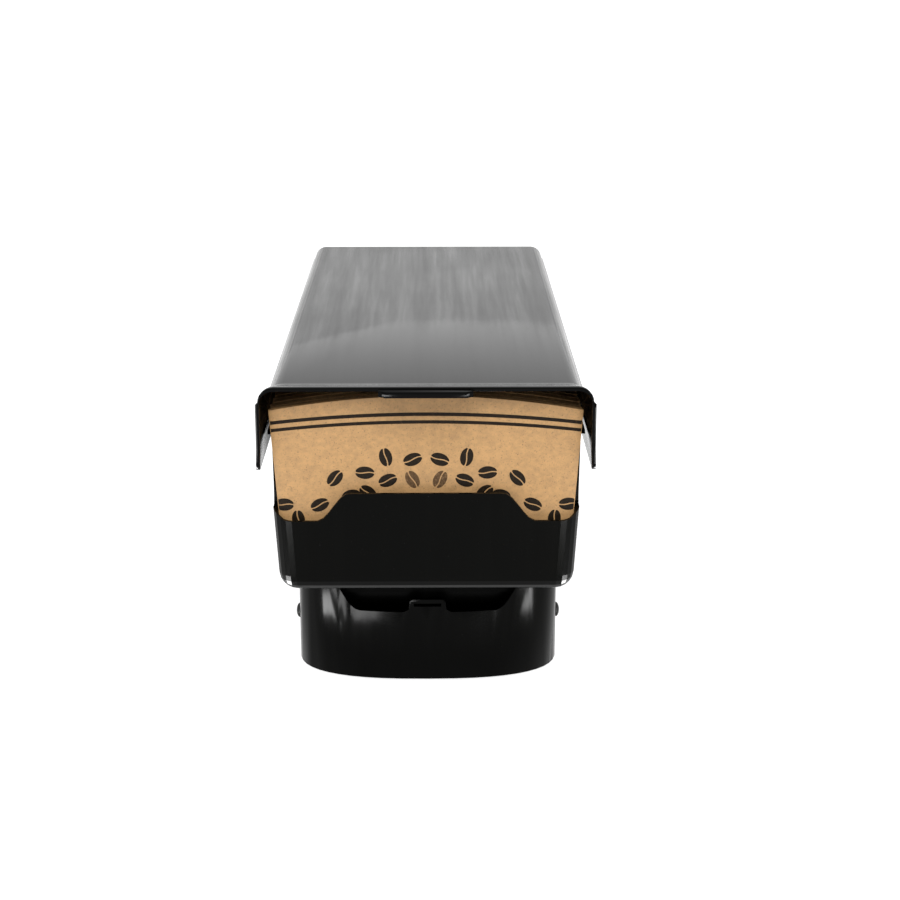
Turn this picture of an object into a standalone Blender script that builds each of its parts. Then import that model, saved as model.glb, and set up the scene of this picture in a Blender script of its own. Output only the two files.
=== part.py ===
"""Countertop dispenser for hot-cup sleeves: lidded tray, spring pusher and tilting stand.

Units are metres. +Z is up, the mouth faces -Y and +X is to the right of someone facing it.
The origin lies on the table under the middle of the dispenser.
"""
import math

import bmesh
import bpy
from mathutils import Matrix, Vector

# Clearances
SEAT_GAP = 0.0003        # between pieces that touch
SLEEVE_CLEARANCE = 0.0004    # sleeve to tray wall, each side
LID_CLEARANCE = 0.0004       # tray lip to lid skirt, each side
LID_HEADROOM = 0.0010        # sleeve crown to underside of lid
HOLE_CLEARANCE = 0.0003      # shank to hole, on the radius

# The cup sleeve, folded flat, which sets the width of everything round it
SLEEVE_TOP_HALF = 0.0656
SLEEVE_HEIGHT = 0.0610
SLEEVE_TAPER = 0.070         # narrowing of each side per unit of height
SLEEVE_TOP_RISE = 0.0062     # crown of the top edge over its corners
SLEEVE_FOOT_RISE = 0.0045    # crown of the bottom edge over its corners
SLEEVE_THICK = 0.0030
SLEEVE_SETBACK = 0.0030      # front sleeve behind the tray's front wall
PACK_LENGTH = 0.1830

# Overall
BODY_LENGTH = 0.3320         # lid, rim to back edge
TRAY_UNDERSIDE = 0.0695      # above the table

# Tray
TRAY_HEIGHT = 0.0652
TRAY_WALL = 0.0015
TRAY_DRAFT = 0.0036          # underside narrower than top, each side
TRAY_CORNER = 0.0080
TRAY_FRONT_SETBACK = 0.0010  # tray face behind lid rim
TRAY_FACE_LEAN = 0.0030
TRAY_LIP = 0.0018
TRAY_LIP_THICK = 0.0015
FACE_CROWN_HEIGHT = 0.0456   # raised middle of the front wall
FACE_LOW_HEIGHT = 0.0332
FACE_EAR_HEIGHT = 0.0375
FACE_CROWN_HALF = 0.0325
FACE_LOW_HALF = 0.0460
RAIL_TOP = 0.0187
RAIL_WIDTH = 0.0070
RAIL_CHAMFER = 0.0055        # cut off the rail's outer foot to stay inside the rounded wall
RAIL_CHAMFER_TOP = 0.0042    # above the tray's underside
RAIL_INSET = 0.0002          # rail's outer edge to the sleeve's bottom corner
SWEEP_LENGTH = 0.0180        # side wall rising from front wall to full height

# Lid
LID_WALL = 0.0016
LID_CORNER = 0.0063
LID_STEP = 0.0010
LID_STEP_DEPTH = 0.0072      # below the top
LID_DEPTH = 0.0330
LID_FLARE_LENGTH = 0.0200
LID_FLARE_RISE = 0.0032
LID_FLARE_OUT = 0.0026
LID_BACK_DEPTH = 0.0220
TAB_HALF = 0.0195
TAB_REACH = 0.0040
TAB_THICK = 0.0026
TAB_CORNER = 0.0030
TAB_DROP = 0.0008           # tab below the rim
TAB_ROOT = 0.0010           # tab behind the rim
SKIRT_CORNER = 0.0040        # rounding of the skirt's lower front corner
SKIRT_SPREAD = 0.0004        # skirt's edge out from its top, each side
STEP_EASE = 0.0012           # height of the upright part of each step

# Lid hinge
HINGE_PIN_RADIUS = 0.0020
HINGE_DROP = 0.0080          # axis below the tray's top edge
HINGE_BEHIND = 0.0062        # axis behind the tray's back wall
KNUCKLE_RADIUS = 0.0045
KNUCKLE_WIDTH = 0.0120
KNUCKLE_X = 0.0300
CAP_RADIUS = 0.0036
CAP_WIDTH = 0.0025

# Stand
STAND_FRONT_SETBACK = 0.0680  # stand face behind lid rim
STAND_LENGTH = 0.1800
STAND_HEIGHT = 0.0620
STAND_WALL = 0.0024
STAND_ROUND = 0.0340         # depth of each rounded end
STAND_SQUARENESS = 2.6
STAND_LIFT = 0.0006          # collar off the table
LEDGE_WIDTH = 0.0070
LEDGE_THICK = 0.0030
LEDGE_HEIGHT = 0.0070
SCOOP_LOW_HEIGHT = 0.0345
SCOOP_FLAT_HALF = 0.0320
SCOOP_TOP_HALF = 0.0560
CATCH_HALF = 0.0082
CATCH_HEIGHT = 0.0408
CATCH_SLOT_HALF = 0.0064
CATCH_SLOT_LOW = 0.0373
CATCH_SLOT_HIGH = 0.0388
STAND_PLATE_THICK = 0.0037
FOOT_RADIUS = 0.0070
STAND_INSET = 0.0007         # stand inside the tray's underside, each side

# Tilt pivot
PIVOT_BEHIND = 0.0360        # behind the stand's face
PIVOT_HEIGHT = 0.0212
PIVOT_RADIUS = 0.0025
PIVOT_HEAD_RADIUS = 0.0036
PIVOT_HEAD_PROUD = 0.0017

# Keel under the tray
KEEL_SIDE_GAP = 0.0085       # stand wall to keel cheek
KEEL_WALL = 0.0025
KEEL_FRONT_GAP = 0.0185      # stand face to keel nose
KEEL_FOOT_HEIGHT = 0.0120
KEEL_NOSE_DEPTH = 0.0155
KEEL_NOSE_HEIGHT = 0.0340
KEEL_LENGTH = 0.1295

# Screws
SCREW_RADIUS = 0.0013
SCREW_HEAD_RADIUS = 0.0026
SCREW_HEAD_THICK = 0.0015
BOSS_RADIUS = 0.0040
BOSS_HEIGHT = 0.0070

# Pusher
PUSHER_INSET = 0.0030
PUSHER_THICK = 0.0030
PUSHER_HEIGHT = 0.0560
PUSHER_CORNER = 0.0060
PUSHER_SKIN = 0.0006         # left in front of each blind screw hole
CARRIAGE_LENGTH = 0.0460
CARRIAGE_THICK = 0.0028
GUSSET_HEIGHT = 0.0240
GUSSET_X = 0.0400
GUSSET_WIDTH = 0.0100
GUSSET_THICK = 0.0030

# Spring
BAND_THICK = 0.0005
BAND_WIDTH = 0.0150
COIL_RADIUS = 0.0105
DRUM_RADIUS = 0.0060
DRUM_FLANGE_RADIUS = 0.0096
DRUM_FLANGE_THICK = 0.0012
AXLE_RADIUS = 0.0015
CHEEK_THICK = 0.0025
CHEEK_LENGTH = 0.0120
CHEEK_HEIGHT = 0.0132
HOOK_POST_BEHIND = 0.0180    # spring post behind the tray's front wall
HOOK_POST_THICK = 0.0020
HOOK_POST_HEIGHT = 0.0060
HOOK_THICK = 0.0008

EMBED = 0.0005               # overlap of shapes that are joined into one
PAST = 0.0100                # how far a cutter runs past what it cuts
ACROSS = 0.0700              # half length of cutters that run right across
ROUND_SIDES = 24

# Places worked out from the sizes
FRONT = -BODY_LENGTH / 2
BACK = BODY_LENGTH / 2
TRAY_FRONT = FRONT + TRAY_FRONT_SETBACK
HINGE_Y = BACK + TAB_REACH - KNUCKLE_RADIUS
TRAY_BACK = HINGE_Y - HINGE_BEHIND
TRAY_TOP = TRAY_UNDERSIDE + TRAY_HEIGHT
HINGE_Z = TRAY_TOP - HINGE_DROP
SLEEVE_FOOT = TRAY_UNDERSIDE + RAIL_TOP + SEAT_GAP
SLEEVE_TOP = SLEEVE_FOOT + SLEEVE_HEIGHT
SLEEVE_FRONT = TRAY_FRONT + TRAY_FACE_LEAN + TRAY_WALL + SLEEVE_SETBACK
SLEEVE_FOOT_HALF = SLEEVE_TOP_HALF - SLEEVE_TAPER * SLEEVE_HEIGHT
TRAY_TOP_HALF = (SLEEVE_TOP_HALF - SLEEVE_TAPER * (SLEEVE_TOP - TRAY_TOP)
                 + SLEEVE_CLEARANCE + TRAY_WALL)
TRAY_FOOT_HALF = TRAY_TOP_HALF - TRAY_DRAFT
LIP_HALF = TRAY_TOP_HALF + TRAY_LIP
LID_TOP = SLEEVE_TOP + SLEEVE_TOP_RISE + LID_HEADROOM + LID_WALL
LID_SHOULDER_HALF = SLEEVE_TOP_HALF + SLEEVE_CLEARANCE + LID_WALL
LID_SKIRT_HALF = LIP_HALF + LID_CLEARANCE + LID_WALL
STAND_HALF = TRAY_FOOT_HALF - STAND_INSET
STAND_FRONT = FRONT + STAND_FRONT_SETBACK
STAND_BACK = STAND_FRONT + STAND_LENGTH
PIVOT_Y = STAND_FRONT + PIVOT_BEHIND
KEEL_HALF = STAND_HALF - STAND_WALL - KEEL_SIDE_GAP
KEEL_FRONT = STAND_FRONT + KEEL_FRONT_GAP
KEEL_BACK = KEEL_FRONT + KEEL_LENGTH
KEEL_TOP = TRAY_UNDERSIDE - SEAT_GAP
PACK_FRONT = SLEEVE_FRONT + SLEEVE_THICK + SEAT_GAP
PACK_BACK = PACK_FRONT + PACK_LENGTH
PUSHER_FRONT = PACK_BACK + SEAT_GAP
TRAY_FLOOR = TRAY_UNDERSIDE + TRAY_WALL
BAND_FOOT = TRAY_FLOOR + SEAT_GAP
SPOOL_Z = BAND_FOOT + BAND_THICK + SEAT_GAP + COIL_RADIUS
SPOOL_Y = PUSHER_FRONT + PUSHER_THICK + CARRIAGE_LENGTH / 2
CARRIAGE_FOOT = TRAY_UNDERSIDE + RAIL_TOP + SEAT_GAP
HOOK_Y = TRAY_FRONT + HOOK_POST_BEHIND
PLATE_FOOT = LEDGE_HEIGHT - SEAT_GAP - STAND_PLATE_THICK


def clear_scene():
    """Remove every object that the scene starts with."""
    for item in list(bpy.data.objects):
        bpy.data.objects.remove(item, do_unlink=True)


def new_collection(name):
    collection = bpy.data.collections.new(name)
    bpy.context.scene.collection.children.link(collection)
    return collection


def new_material(name, colour, roughness, metallic=0.0):
    material = bpy.data.materials.new(name)
    material.use_nodes = True
    shader = material.node_tree.nodes["Principled BSDF"]
    shader.inputs["Base Color"].default_value = (*colour, 1.0)
    shader.inputs["Roughness"].default_value = roughness
    shader.inputs["Metallic"].default_value = metallic
    return material


def move_to(item, collection):
    for old in list(item.users_collection):
        old.objects.unlink(item)
    collection.objects.link(item)


def as_part(item, name, material, body):
    """Name a finished shape, give it its material and parent it to its body's empty."""
    item.name = name
    item.data.name = name
    item.data.materials.clear()
    item.data.materials.append(bpy.data.materials[material])
    move_to(item, PARTS)
    item.parent = body
    item.matrix_parent_inverse = Matrix.Translation(-body.matrix_world.translation)
    return item


def as_cutter(item):
    move_to(item, CUTTERS)
    item.hide_render = True
    item.display_type = "WIRE"
    return item


def round_shading(item, angle=40.0):
    item.data.shade_smooth()
    item.data.set_sharp_from_angle(angle=math.radians(angle))
    return item


def box(low, high):
    """A block between two corners, with its scale applied."""
    low = Vector(low)
    high = Vector(high)
    bpy.ops.mesh.primitive_cube_add(size=1.0, location=(low + high) / 2)
    item = bpy.context.object
    item.data.transform(Matrix.Diagonal((*(high - low), 1.0)))
    return item


def cylinder(radius, start, end, sides=ROUND_SIDES):
    """A round bar between two points."""
    start = Vector(start)
    end = Vector(end)
    axis = end - start
    bpy.ops.mesh.primitive_cylinder_add(radius=radius, depth=axis.length, vertices=sides,
                                        location=(start + end) / 2)
    item = bpy.context.object
    item.data.transform(axis.to_track_quat("Z", "Y").to_matrix().to_4x4())
    return item


def outline_solid(outlines, thickness, matrix):
    """A flat outline, with any holes in it, extruded evenly to both sides of its plane."""
    curve = bpy.data.curves.new("outline", "CURVE")
    curve.dimensions = "2D"
    curve.fill_mode = "BOTH"
    curve.extrude = thickness / 2
    for outline in outlines:
        spline = curve.splines.new("POLY")
        spline.points.add(len(outline) - 1)
        for point, (across, up) in zip(spline.points, outline):
            point.co = (across, up, 0.0, 1.0)
        spline.use_cyclic_u = True
    drawn = bpy.data.objects.new("outline", curve)
    bpy.context.scene.collection.objects.link(drawn)
    bpy.context.view_layer.update()
    evaluated = drawn.evaluated_get(bpy.context.evaluated_depsgraph_get())
    mesh = bpy.data.meshes.new_from_object(evaluated)
    welded = bmesh.new()
    welded.from_mesh(mesh)
    bmesh.ops.remove_doubles(welded, verts=welded.verts, dist=0.00001)
    bmesh.ops.recalc_face_normals(welded, faces=welded.faces)
    welded.to_mesh(mesh)
    welded.free()
    bpy.data.objects.remove(drawn, do_unlink=True)
    item = bpy.data.objects.new("outline", mesh)
    item.matrix_world = matrix
    bpy.context.scene.collection.objects.link(item)
    return item


def facing_front(y):
    """Places an outline's plane upright at y: its x is across, its y is up."""
    return Matrix.Translation((0, y, 0)) @ Matrix.Rotation(math.pi / 2, 4, "X")


def facing_side(x):
    """Places an outline's plane upright at x: its x runs back, its y is up."""
    return Matrix.Translation((x, 0, 0)) @ Matrix(((0, 0, 1, 0), (1, 0, 0, 0),
                                                   (0, 1, 0, 0), (0, 0, 0, 1)))


def lying_flat(z):
    return Matrix.Translation((0, 0, z))


def turned(profile, matrix, sides=ROUND_SIDES, ring=False):
    """A turned shape from (radius, height) points that run down its outer side."""
    mesh = bpy.data.meshes.new("turned")
    edges = [(index, index + 1) for index in range(len(profile) - 1)]
    if ring:
        edges.append((len(profile) - 1, 0))
    mesh.from_pydata([(radius, 0, height) for radius, height in profile], edges, [])
    item = bpy.data.objects.new("turned", mesh)
    item.matrix_world = matrix
    bpy.context.scene.collection.objects.link(item)
    screw = item.modifiers.new("turn", "SCREW")
    screw.angle = math.tau
    screw.steps = sides
    screw.render_steps = sides
    screw.use_merge_vertices = True
    screw.merge_threshold = 0.00001
    return apply_modifiers(item)


def apply_modifiers(item):
    """Replace an object's mesh by its evaluated one, so later Booleans read a plain mesh."""
    bpy.context.view_layer.update()
    evaluated = item.evaluated_get(bpy.context.evaluated_depsgraph_get())
    mesh = bpy.data.meshes.new_from_object(evaluated)
    item.modifiers.clear()
    item.data = mesh
    return item


def combine(item, others, operation):
    """Join or cut item by each of the others, in order."""
    for other in others:
        as_cutter(other)
        modifier = item.modifiers.new(operation.lower(), "BOOLEAN")
        modifier.operation = operation
        modifier.object = other
        modifier.solver = "EXACT"
    return item


def smooth_step(value, low, high):
    share = min(max((value - low) / (high - low), 0.0), 1.0)
    return share * share * (3.0 - 2.0 * share)


def spread(start, end, count):
    return [start + (end - start) * index / (count - 1) for index in range(count)]


def new_empty(name, place, parent=None):
    empty = bpy.data.objects.new(name, None)
    empty.empty_display_size = 0.02
    PARTS.objects.link(empty)
    if parent:
        empty.parent = parent
        empty.matrix_parent_inverse = Matrix.Translation(-parent.matrix_world.translation)
    empty.location = place
    bpy.context.view_layer.update()
    return empty


def stand_outline(inset):
    """Plan of the stand: straight sides and squarish rounded ends, inset from the outside."""
    half = STAND_HALF - inset
    depth = STAND_ROUND - inset
    power = 2.0 / STAND_SQUARENESS
    quarter = [(half * math.cos(angle) ** power, depth * math.sin(angle) ** power)
               for angle in spread(0.0, math.pi / 2 - 0.0001, 13)]
    back = [(x, STAND_BACK - STAND_ROUND + y) for x, y in quarter]
    back += [(-x, y) for x, y in reversed(back[:-1])]
    front = [(-x, STAND_FRONT + STAND_ROUND - y) for x, y in quarter]
    front += [(-x, y) for x, y in reversed(front[:-1])]
    return back + front


def stand_screw_places():
    """Screw and foot places round the stand plate."""
    across = STAND_HALF - STAND_WALL - LEDGE_WIDTH / 2
    along = STAND_LENGTH / 2 - STAND_ROUND
    middle = (STAND_FRONT + STAND_BACK) / 2
    return [(x, middle + y) for y in (-along, along) for x in (-across, across)]


def keel_screw_places():
    """Screws up through the keel into the tray's bosses."""
    across = KEEL_HALF - KEEL_WALL - 2 * BOSS_RADIUS
    inset = KEEL_NOSE_DEPTH + KEEL_WALL + 2 * BOSS_RADIUS
    return [(x, y) for y in (KEEL_FRONT + inset, KEEL_BACK - inset)
            for x in (-across, across)]


def make_stand_shell(body):
    """Hollow collar with a scooped front, a catch window and an inner ledge."""
    height = STAND_HEIGHT - STAND_LIFT
    shell = outline_solid([stand_outline(0.0), stand_outline(STAND_WALL)], height,
                          lying_flat(STAND_LIFT + height / 2))
    ledge = outline_solid([stand_outline(STAND_WALL - EMBED),
                           stand_outline(STAND_WALL + LEDGE_WIDTH)], LEDGE_THICK,
                          lying_flat(LEDGE_HEIGHT + LEDGE_THICK / 2))
    above = STAND_HEIGHT + 0.002
    side = [(x, SCOOP_LOW_HEIGHT + (above - SCOOP_LOW_HEIGHT)
             * smooth_step(x, SCOOP_FLAT_HALF, SCOOP_TOP_HALF))
            for x in spread(SCOOP_FLAT_HALF, SCOOP_TOP_HALF, 13)]
    catch = [(CATCH_HALF * 1.35, SCOOP_LOW_HEIGHT), (CATCH_HALF * 1.08, SCOOP_LOW_HEIGHT
              + 0.0012), (CATCH_HALF, CATCH_HEIGHT - 0.0010), (CATCH_HALF - 0.0010, CATCH_HEIGHT)]
    right = list(reversed(catch)) + side
    contour = [(-x, z) for x, z in reversed(right)] + right
    scoop = outline_solid([contour], STAND_ROUND, facing_front(STAND_FRONT + STAND_ROUND / 2
                                                               - 0.002))
    slot = box((-CATCH_SLOT_HALF, STAND_FRONT - 0.005, CATCH_SLOT_LOW),
               (CATCH_SLOT_HALF, STAND_FRONT + 0.010, CATCH_SLOT_HIGH))
    pivot = cylinder(PIVOT_RADIUS + HOLE_CLEARANCE, (-STAND_HALF - 0.01, PIVOT_Y, PIVOT_HEIGHT),
                     (STAND_HALF + 0.01, PIVOT_Y, PIVOT_HEIGHT))
    pilots = [cylinder(SCREW_RADIUS + HOLE_CLEARANCE, (x, y, 0.0), (x, y, LEDGE_HEIGHT * 3), 16)
              for x, y in stand_screw_places()]
    combine(shell, [ledge], "UNION")
    combine(shell, [scoop, slot, pivot] + pilots, "DIFFERENCE")
    return as_part(apply_and_shade(shell), "stand_shell", "black_gloss", body)


def apply_and_shade(item):
    return round_shading(apply_modifiers(item))


def make_stand_plate(body):
    """Floor of the stand, with the rib that the level tray's keel comes down on."""
    plate = outline_solid([stand_outline(STAND_WALL + SEAT_GAP)], STAND_PLATE_THICK,
                          lying_flat(PLATE_FOOT + STAND_PLATE_THICK / 2))
    half = KEEL_HALF
    rib = box((-half, KEEL_BACK - 0.006, PLATE_FOOT + STAND_PLATE_THICK - EMBED),
              (half, KEEL_BACK, KEEL_FOOT_HEIGHT - SEAT_GAP))
    holes = [cylinder(SCREW_RADIUS + HOLE_CLEARANCE, (x, y, 0.0), (x, y, 0.02), 16)
             for x, y in stand_screw_places()]
    combine(plate, [rib], "UNION")
    combine(plate, holes, "DIFFERENCE")
    return as_part(apply_and_shade(plate), "stand_plate", "black_matte", body)


def make_feet(body):
    """Rubber feet under the plate, inboard of its screws."""
    for number, (x, y) in enumerate(stand_screw_places(), start=1):
        x -= math.copysign(FOOT_RADIUS + 2 * SCREW_HEAD_RADIUS, x)
        top = PLATE_FOOT - SEAT_GAP
        foot = turned([(0, top), (FOOT_RADIUS, top), (FOOT_RADIUS, 0.0006),
                       (FOOT_RADIUS - 0.0006, 0), (0, 0)], Matrix.Translation((x, y, 0)))
        as_part(round_shading(foot), f"rubber_foot_{number}", "rubber", body)


def screw_profile(length):
    """Pan-head screw with its seat at zero and its shank going up."""
    head = SCREW_HEAD_RADIUS
    return [(0, length), (SCREW_RADIUS * 0.6, length), (SCREW_RADIUS, length - 0.0006),
            (SCREW_RADIUS, 0), (head, 0), (head, -SCREW_HEAD_THICK * 0.6),
            (head * 0.75, -SCREW_HEAD_THICK), (0, -SCREW_HEAD_THICK)]


def make_screw(name, seat, direction, length, body):
    turn = Vector(direction).to_track_quat("Z", "Y").to_matrix().to_4x4()
    screw = turned(screw_profile(length), Matrix.Translation(seat) @ turn, 14)
    return as_part(round_shading(screw), name, "zinc_steel", body)


def make_stand_screws(body):
    seat = PLATE_FOOT - SEAT_GAP
    length = LEDGE_HEIGHT + LEDGE_THICK - seat
    for number, (x, y) in enumerate(stand_screw_places(), start=1):
        make_screw(f"stand_screw_{number}", (x, y, seat), (0, 0, 1), length, body)


def make_pivot_pins(body):
    """Domed pins through the collar's sides into the keel's cheeks."""
    head = PIVOT_HEAD_RADIUS
    reach = STAND_HALF - (KEEL_HALF - KEEL_WALL)
    dome = [(head * math.sin(angle), SEAT_GAP + PIVOT_HEAD_PROUD * math.cos(angle))
            for angle in spread(0.0, math.pi / 2, 7)]
    profile = dome + [(head, SEAT_GAP), (PIVOT_RADIUS, SEAT_GAP), (PIVOT_RADIUS, -reach),
                      (0, -reach)]
    profile = [point for index, point in enumerate(profile)
               if index == 0 or point != profile[index - 1]]
    for name, side in (("pivot_pin_left", -1), ("pivot_pin_right", 1)):
        turn = Vector((side, 0, 0)).to_track_quat("Z", "Y").to_matrix().to_4x4()
        pin = turned(profile, Matrix.Translation((side * STAND_HALF, PIVOT_Y, PIVOT_HEIGHT))
                     @ turn)
        as_part(round_shading(pin), name, "black_matte", body)


def keel_outline(inset, foot):
    """Side view of the keel: rounded nose, upright neck and back."""
    nose = [(KEEL_FRONT + KEEL_NOSE_DEPTH - (KEEL_NOSE_DEPTH - inset) * math.cos(angle),
             PIVOT_HEIGHT + (KEEL_NOSE_HEIGHT - inset) * math.sin(angle))
            for angle in spread(0.0, math.pi / 2, 11)]
    neck = KEEL_FRONT + KEEL_NOSE_DEPTH
    top = KEEL_TOP - inset
    neck_points = [(neck + inset, nose[-1][1]), (neck + inset, top)] if inset else [(neck, top)]
    return ([(KEEL_FRONT + inset, foot)] + nose + neck_points
            + [(KEEL_BACK - inset, top), (KEEL_BACK - inset, foot)])


def make_keel(body):
    """Box under the tray that turns on the pivot pins inside the stand."""
    keel = outline_solid([keel_outline(0.0, KEEL_FOOT_HEIGHT)], 2 * KEEL_HALF, facing_side(0))
    hollow = outline_solid([keel_outline(KEEL_WALL, KEEL_FOOT_HEIGHT - 0.01)],
                           2 * (KEEL_HALF - KEEL_WALL), facing_side(0))
    pivot = cylinder(PIVOT_RADIUS + HOLE_CLEARANCE, (-STAND_HALF, PIVOT_Y, PIVOT_HEIGHT),
                     (STAND_HALF, PIVOT_Y, PIVOT_HEIGHT))
    holes = [cylinder(SCREW_RADIUS + HOLE_CLEARANCE, (x, y, KEEL_TOP - 0.01),
                      (x, y, KEEL_TOP + 0.01), 16) for x, y in keel_screw_places()]
    combine(keel, [hollow, pivot] + holes, "DIFFERENCE")
    return as_part(apply_and_shade(keel), "tray_keel", "black_gloss", body)


def make_keel_screws(body):
    seat = KEEL_TOP - KEEL_WALL - SEAT_GAP
    length = TRAY_UNDERSIDE + BOSS_HEIGHT - 0.0012 - seat
    for number, (x, y) in enumerate(keel_screw_places(), start=1):
        make_screw(f"keel_screw_{number}", (x, y, seat), (0, 0, 1), length, body)


def face_height(x):
    """Top edge of the tray's front wall over its underside."""
    x = abs(x)
    drop = FACE_CROWN_HEIGHT - FACE_LOW_HEIGHT
    height = FACE_CROWN_HEIGHT - drop * smooth_step(x, FACE_CROWN_HALF, FACE_LOW_HALF)
    ear = FACE_EAR_HEIGHT - FACE_LOW_HEIGHT
    return height + ear * smooth_step(x, TRAY_TOP_HALF - TRAY_CORNER, TRAY_TOP_HALF)


def make_tub():
    """Open tub with drafted sides, a leaning face and rounded corners."""
    bpy.ops.mesh.primitive_cube_add(size=2.0)
    tub = bpy.context.object
    for vertex in tub.data.vertices:
        upper = vertex.co.z > 0
        half = TRAY_TOP_HALF if upper else TRAY_FOOT_HALF
        face = TRAY_FRONT if upper else TRAY_FRONT + TRAY_FACE_LEAN
        vertex.co = (math.copysign(half, vertex.co.x), face if vertex.co.y < 0 else TRAY_BACK,
                     TRAY_TOP if upper else TRAY_UNDERSIDE)
    shape = bmesh.new()
    shape.from_mesh(tub.data)
    lids = [face for face in shape.faces if face.normal.z > 0.9]
    bmesh.ops.delete(shape, geom=lids, context="FACES_ONLY")
    shape.to_mesh(tub.data)
    shape.free()
    rounding = tub.modifiers.new("corners", "BEVEL")
    rounding.width = TRAY_CORNER
    rounding.segments = 5
    rounding.limit_method = "ANGLE"
    rounding.angle_limit = math.radians(50)
    wall = tub.modifiers.new("wall", "SOLIDIFY")
    wall.thickness = TRAY_WALL
    wall.offset = -1.0
    wall.use_even_offset = True
    return apply_modifiers(tub)


def make_tray(body):
    """Tub with sleeve rails, side lips, hinge knuckles, screw bosses and a scooped face."""
    tray = make_tub()
    rail_outer = SLEEVE_FOOT_HALF + RAIL_INSET
    joined = []
    for side in (-1, 1):
        foot = TRAY_UNDERSIDE + TRAY_WALL / 2
        rail = [(rail_outer, TRAY_UNDERSIDE + RAIL_CHAMFER_TOP),
                (rail_outer, TRAY_UNDERSIDE + RAIL_TOP),
                (rail_outer - RAIL_WIDTH, TRAY_UNDERSIDE + RAIL_TOP),
                (rail_outer - RAIL_WIDTH, foot), (rail_outer - RAIL_CHAMFER, foot)]
        joined.append(outline_solid([[(side * x, z) for x, z in rail]],
                                    TRAY_BACK - TRAY_FRONT - 2 * TRAY_CORNER,
                                    facing_front((TRAY_FRONT + TRAY_BACK) / 2)))
        xs = sorted((side * (TRAY_TOP_HALF - TRAY_WALL + EMBED), side * LIP_HALF))
        joined.append(box((xs[0], TRAY_FRONT + SWEEP_LENGTH + TRAY_CORNER,
                           TRAY_TOP - TRAY_LIP_THICK), (xs[1], TRAY_BACK - TRAY_CORNER, TRAY_TOP)))
        inner = KNUCKLE_X - KNUCKLE_WIDTH
        xs = sorted((side * inner, side * KNUCKLE_X))
        joined.append(cylinder(KNUCKLE_RADIUS, (xs[0], HINGE_Y, HINGE_Z), (xs[1], HINGE_Y, HINGE_Z)))
        joined.append(box((xs[0] + EMBED, TRAY_BACK - EMBED, HINGE_Z - KNUCKLE_RADIUS + EMBED),
                          (xs[1] - EMBED, HINGE_Y, HINGE_Z - EMBED)))
    joined += [cylinder(BOSS_RADIUS, (x, y, TRAY_UNDERSIDE + TRAY_WALL / 2),
                        (x, y, TRAY_UNDERSIDE + BOSS_HEIGHT)) for x, y in keel_screw_places()]
    joined.append(box((-BAND_WIDTH / 2, HOOK_Y, TRAY_FLOOR - EMBED),
                      (BAND_WIDTH / 2, HOOK_Y + HOOK_POST_THICK, TRAY_FLOOR + HOOK_POST_HEIGHT)))
    combine(tray, joined, "UNION")
    above = TRAY_TOP + 0.002
    reach = LIP_HALF + 0.004
    contour = [(x, TRAY_UNDERSIDE + face_height(x)) for x in spread(-reach, reach, 61)]
    contour += [(reach, above), (-reach, above)]
    mouth = outline_solid([contour], 2 * TRAY_CORNER,
                          facing_front(TRAY_FRONT - 0.002 + TRAY_CORNER))
    sweep_start = TRAY_FRONT + 2 * TRAY_CORNER - 0.003
    sweep = [(y, TRAY_UNDERSIDE + FACE_EAR_HEIGHT + (TRAY_HEIGHT + 0.001 - FACE_EAR_HEIGHT)
              * smooth_step(y, sweep_start, sweep_start + SWEEP_LENGTH))
             for y in spread(sweep_start, sweep_start + SWEEP_LENGTH, 13)]
    outline = [(sweep_start - 0.0005, TRAY_UNDERSIDE + FACE_EAR_HEIGHT)] + sweep
    outline += [(sweep[-1][0], above), (sweep_start - 0.0005, above)]
    swept = outline_solid([outline], 2 * reach, facing_side(0))
    pin = cylinder(HINGE_PIN_RADIUS + HOLE_CLEARANCE, (-ACROSS, HINGE_Y, HINGE_Z),
                   (ACROSS, HINGE_Y, HINGE_Z))
    pilots = [cylinder(SCREW_RADIUS + HOLE_CLEARANCE, (x, y, TRAY_UNDERSIDE - PAST),
                       (x, y, TRAY_UNDERSIDE + BOSS_HEIGHT + PAST), 16)
              for x, y in keel_screw_places()]
    combine(tray, [mouth, swept, pin] + pilots, "DIFFERENCE")
    return as_part(apply_and_shade(tray), "tray_shell", "black_gloss", body)


def sleeve_outline():
    """Front view of a folded sleeve: bowed top and bottom edges, wider at the top."""
    top_half = SLEEVE_TOP_HALF
    foot_half = SLEEVE_FOOT_HALF
    top = [(x, SLEEVE_TOP + SLEEVE_TOP_RISE * (1 - (x / top_half) ** 2))
           for x in spread(top_half, -top_half, 15)]
    foot = [(x, SLEEVE_FOOT + SLEEVE_FOOT_RISE * (1 - (x / foot_half) ** 2))
            for x in spread(-foot_half, foot_half, 11)]
    return top + foot


def make_sleeves(body):
    front = outline_solid([sleeve_outline()], SLEEVE_THICK,
                          facing_front(SLEEVE_FRONT + SLEEVE_THICK / 2))
    as_part(round_shading(front), "sleeve_front", "kraft", body)
    pack = outline_solid([sleeve_outline()], PACK_LENGTH,
                         facing_front(PACK_FRONT + PACK_LENGTH / 2))
    as_part(round_shading(pack), "sleeve_pack", "kraft", body)


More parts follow.
